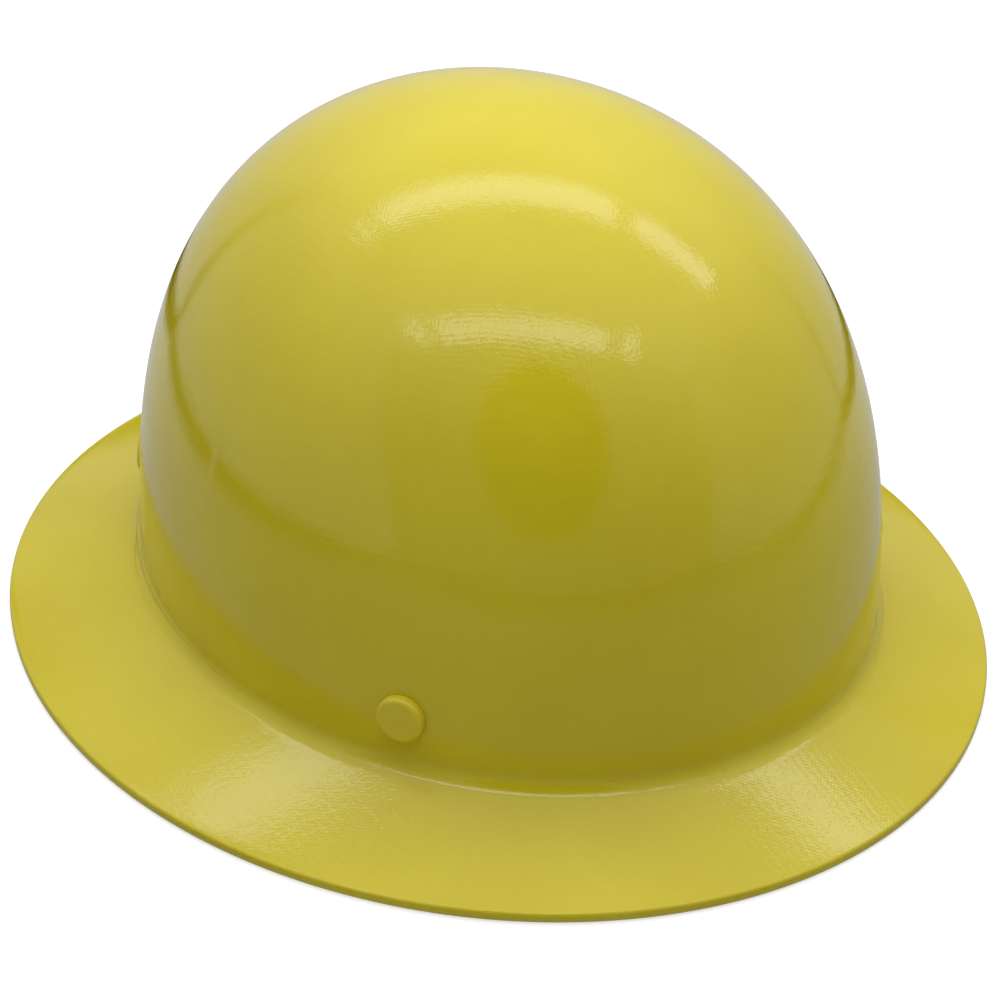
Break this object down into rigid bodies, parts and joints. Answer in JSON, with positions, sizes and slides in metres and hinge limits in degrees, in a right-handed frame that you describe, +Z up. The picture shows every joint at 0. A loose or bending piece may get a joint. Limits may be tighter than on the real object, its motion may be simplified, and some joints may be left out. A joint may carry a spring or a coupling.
{
  "type": "full brim hard hat",
  "caption": "Full brim hard hat: glossy laminated shell with a removable strap suspension, padded headband and swinging nape ratchet.",
  "frame": {"origin": "middle of the brim's outline, level with the rim's lowest ring, on which the hat stands", "axes": "+Z up through the crown, -Y towards the front of the hat, +X towards the wearer's left"},
  "size_m": [0.295, 0.333, 0.165],
  "materials": {
    "shell": "glossy yellow paint over a woven fibre laminate",
    "rivet": "glossy yellow",
    "washer": "zinc plated",
    "socket": "moulded, fine grain",
    "suspension": "moulded, satin",
    "webbing": "woven polyester tape",
    "pad": "brushed knit over foam",
    "strap": "flexible moulded plastic",
    "ratchet": "moulded, fine grain",
    "gear": "natural acetal",
    "steel": "zinc plated"
  },
  "bodies": {
    "root": {"shell": "shell", "button_rivet_front_left": "rivet", "button_rivet_front_right": "rivet", "button_rivet_rear_left": "rivet", "button_rivet_rear_right": "rivet", "rivet_washers": "washer", "socket_front_left": "socket", "socket_front_right": "socket", "socket_rear_left": "socket", "socket_rear_right": "socket"},
    "suspension": {"suspension_key_front_left": "suspension", "suspension_key_front_right": "suspension", "suspension_key_rear_left": "suspension", "suspension_key_rear_right": "suspension", "crown_strap_lower": "webbing", "crown_strap_upper": "webbing", "headband": "suspension", "brow_pad": "pad", "pivot_stud_left": "suspension", "pivot_stud_right": "suspension"},
    "nape_eyes": {"nape_eye_left": "strap", "nape_eye_right": "strap"},
    "strap_left": {"nape_strap_left": "strap"},
    "strap_right": {"nape_strap_right": "strap"},
    "ratchet": {"ratchet_case": "ratchet", "ratchet_cover": "ratchet"},
    "knob": {"ratchet_knob": "ratchet", "pinion": "gear", "click_spring": "gear", "knob_screw": "steel"}
  },
  "joints": [
    {"name": "suspension_pull", "type": "slide", "parent": "root", "child": "suspension", "axis": [0, 0, -1], "range_m": [0, 0.045]},
    {"name": "nape_swing", "type": "hinge", "parent": "suspension", "child": "nape_eyes", "pos_m": [0, -0.006, 0.016], "axis": [-1, 0, 0], "range_deg": [0, 25]},
    {"name": "size_slide", "type": "slide", "parent": "nape_eyes", "child": "ratchet", "axis": [0, 1, 0], "range_m": [-0.0128, 0.0128]},
    {"name": "strap_left_flex", "type": "hinge", "parent": "nape_eyes", "child": "strap_left", "pos_m": [0.0839, 0.007, 0.016], "axis": [0, 0, -1], "range_deg": [-9, 9]},
    {"name": "strap_right_flex", "type": "hinge", "parent": "nape_eyes", "child": "strap_right", "pos_m": [-0.0812, 0.007, 0.016], "axis": [0, 0, 1], "range_deg": [-9.3, 9.3]},
    {"name": "knob_turn", "type": "hinge", "parent": "ratchet", "child": "knob", "pos_m": [0, 0.1, 0.016], "axis": [0, 1, 0], "range_deg": [-123, 123]}
  ],
  "couplings": [
    {"joint": "strap_left_flex", "follows": "size_slide", "rad_per_m": 11.919},
    {"joint": "strap_right_flex", "follows": "size_slide", "rad_per_m": 12.315},
    {"joint": "knob_turn", "follows": "size_slide", "rad_per_m": 166.67}
  ]
}
